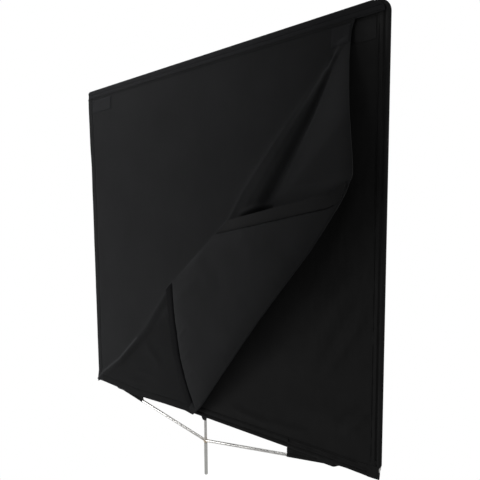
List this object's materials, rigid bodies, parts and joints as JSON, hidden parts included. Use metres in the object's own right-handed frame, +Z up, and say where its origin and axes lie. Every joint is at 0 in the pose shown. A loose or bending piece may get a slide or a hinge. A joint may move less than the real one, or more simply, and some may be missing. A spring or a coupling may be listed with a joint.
{
  "type": "floppy flag cutter",
  "caption": "Square black cloth flag on a rod frame with braces and a grip pin, its cloth drop flap hanging in front with one corner turned back.",
  "frame": {"origin": "on the grip pin's axis, midway along the pin, where a grip head clamps it", "axes": "+Z up along the pin towards the flag; X along the flag's width; the flap hangs on the -Y side, which is the front"},
  "size_m": [1.2216, 0.1651, 1.4302],
  "materials": {
    "rod_steel": "satin",
    "pin_steel": "satin",
    "weld": "rough",
    "cover_cloth": "napped matt",
    "flap_cloth": "napped matt",
    "hem_cloth": "napped matt",
    "hook": "hook tape",
    "loop": "loop tape"
  },
  "bodies": {
    "flag": {"frame_rod_left": "rod_steel", "frame_rod_right": "rod_steel", "center_post": "rod_steel", "grip_pin": "pin_steel", "brace_left": "rod_steel", "brace_right": "rod_steel", "apex_weld": "weld", "post_weld": "weld", "brace_welds": "weld", "cover_panel": "cover_cloth", "sleeve_left": "cover_cloth", "sleeve_right": "cover_cloth", "sleeve_top": "cover_cloth", "sleeve_bottom": "cover_cloth", "corner_pocket_left": "cover_cloth", "corner_pocket_right": "cover_cloth", "post_tab": "cover_cloth", "header_band": "cover_cloth", "loop_patch_left": "loop", "loop_patch_right": "loop"},
    "flap": {"flap_sheet": "flap_cloth", "flap_hinge_fold": "hem_cloth", "flap_left_hem": "hem_cloth", "flap_bottom_hem": "hem_cloth", "flap_right_hem": "hem_cloth", "hook_patch_left": "hook", "hook_patch_right": "hook"},
    "corner": {"corner_sheet": "flap_cloth", "corner_fold": "flap_cloth", "corner_bottom_hem": "hem_cloth", "corner_right_hem": "hem_cloth", "corner_tip": "flap_cloth"}
  },
  "joints": [
    {"name": "flap_hinge", "type": "hinge", "parent": "flag", "child": "flap", "pos_m": [0, -0.011, 1.337], "axis": [-1, 0, 0], "range_deg": [0, 180]},
    {"name": "corner_fold", "type": "hinge", "parent": "flap", "child": "corner", "pos_m": [-0.042, -0.022, 0.154], "axis": [0.6181, -0.1284, 0.7756], "range_deg": [0, 150]}
  ]
}
